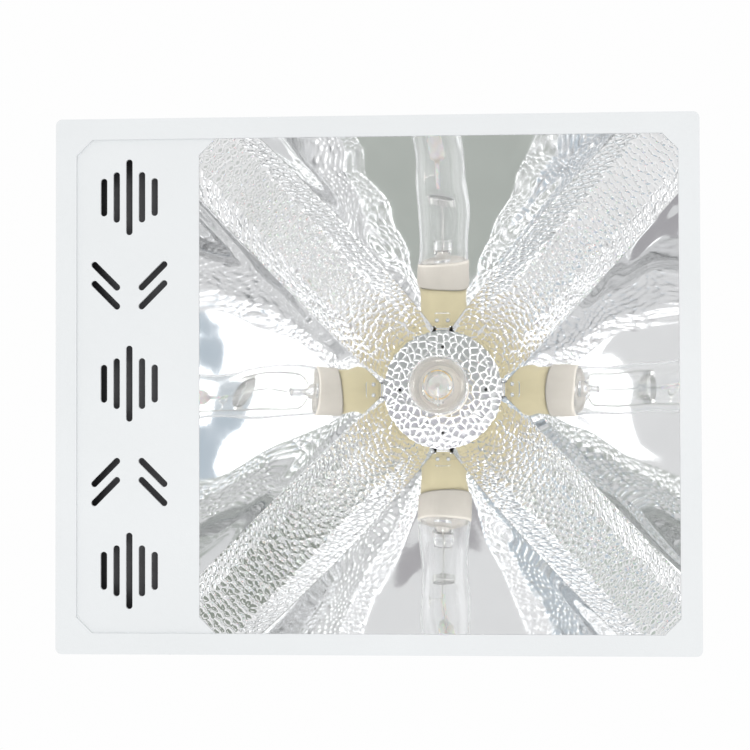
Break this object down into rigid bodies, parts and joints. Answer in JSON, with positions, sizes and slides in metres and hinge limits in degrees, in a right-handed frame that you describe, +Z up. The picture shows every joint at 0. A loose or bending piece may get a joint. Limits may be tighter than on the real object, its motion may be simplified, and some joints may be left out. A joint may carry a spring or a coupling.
{
  "type": "grow lamp",
  "caption": "Hanging grow lamp: white steel housing, vented ballast bay, square hammered and mirrored reflector bowl around one upright ceramic metal-halide lamp.",
  "frame": {"origin": "centre of the part's bounding box, on the plane of the bezel's lower face", "axes": "+Z up, away from the plants; the light shines towards -Z; +X runs from the ballast bay to the reflector bowl"},
  "size_m": [0.4156, 0.3372, 0.2067],
  "materials": {
    "white_powder_coat": "fine satin powder coat",
    "zinc_steel": "zinc-plated steel",
    "hammered_aluminium": "bright hammered sheet",
    "mirror_aluminium": "polished specular sheet",
    "plain_aluminium": "plain mill finish",
    "cream_ceramic": "smooth cream steatite",
    "white_ceramic": "smooth off-white ceramic",
    "arc_ceramic": "translucent alumina",
    "clear_glass": "clear",
    "nickel_wire": "nickel plated",
    "brass": "plain brass",
    "black_plastic": "satin moulded plastic",
    "green_board": "solder mask",
    "ferrite": "matt sintered ferrite",
    "winding_wire": "enamelled copper wire",
    "capacitor_sleeve": "shrink sleeve",
    "yellow_film": "moulded box",
    "silicone_lead": "silicone insulation",
    "black_rubber": "moulded rubber"
  },
  "bodies": {
    "housing": {"housing_shell": "white_powder_coat", "bezel_frame": "white_powder_coat", "bezel_screws": "zinc_steel", "ballast_cover": "white_powder_coat", "partition_wall": "zinc_steel", "partition_grommet": "black_rubber", "reflector_disc": "hammered_aluminium", "reflector_arm_front_left": "hammered_aluminium", "reflector_arm_front_right": "hammered_aluminium", "reflector_arm_back_left": "hammered_aluminium", "reflector_arm_back_right": "hammered_aluminium", "mirror_front": "mirror_aluminium", "mirror_back": "mirror_aluminium", "mirror_left": "mirror_aluminium", "mirror_right": "mirror_aluminium", "reflector_rivets": "plain_aluminium", "reflector_brackets": "zinc_steel", "rim_clips": "zinc_steel", "holder_bridge": "zinc_steel", "bridge_screws": "zinc_steel", "lampholder": "cream_ceramic", "holder_screws": "zinc_steel", "holder_terminals": "brass", "insulating_tray": "black_plastic", "circuit_board": "green_board", "board_standoffs": "brass", "transformer_core": "ferrite", "transformer_winding": "winding_wire", "choke_cores": "ferrite", "choke_windings": "winding_wire", "bulk_capacitors": "capacitor_sleeve", "film_capacitors": "yellow_film", "heat_sink": "plain_aluminium", "power_transistors": "black_plastic", "terminal_block": "green_board", "lamp_leads": "silicone_lead", "inlet_socket": "black_plastic", "inlet_pins": "nickel_wire", "inlet_screws": "zinc_steel", "control_jack": "black_plastic", "selector_switch": "zinc_steel", "selector_nut": "zinc_steel", "hanger_clips": "zinc_steel", "clip_rivets": "zinc_steel"},
    "rotor": {"holder_rotor": "white_ceramic", "contact_sleeves": "brass"},
    "lamp": {"lamp_base": "white_ceramic", "lamp_pins": "nickel_wire", "outer_bulb": "clear_glass", "lamp_stem": "clear_glass", "arc_tube": "arc_ceramic", "quartz_shroud": "clear_glass", "support_wires": "nickel_wire", "shroud_straps": "nickel_wire", "getter_ring": "nickel_wire"},
    "selector": {"selector_shaft": "zinc_steel", "selector_knob": "black_plastic"},
    "hanger_left": {"hanger_left": "zinc_steel"},
    "hanger_right": {"hanger_right": "zinc_steel"}
  },
  "joints": [
    {"name": "lamp_twist", "type": "hinge", "parent": "housing", "child": "rotor", "pos_m": [0.0447, 0, 0.134], "axis": [0, 0, 1], "range_deg": [0, 35]},
    {"name": "lamp_pull", "type": "slide", "parent": "rotor", "child": "lamp", "axis": [0, 0, -1], "range_m": [0, 0.014]},
    {"name": "selector_turn", "type": "hinge", "parent": "housing", "child": "selector", "pos_m": [-0.1921, 0, 0.135], "axis": [-1, 0, 0], "range_deg": [0, 120]},
    {"name": "hanger_left_swing", "type": "hinge", "parent": "housing", "child": "hanger_left", "pos_m": [-0.1588, 0, 0.2032], "axis": [0, -1, 0], "range_deg": [0, 120]},
    {"name": "hanger_right_swing", "type": "hinge", "parent": "housing", "child": "hanger_right", "pos_m": [0.1712, 0, 0.2032], "axis": [0, 1, 0], "range_deg": [0, 120]}
  ]
}
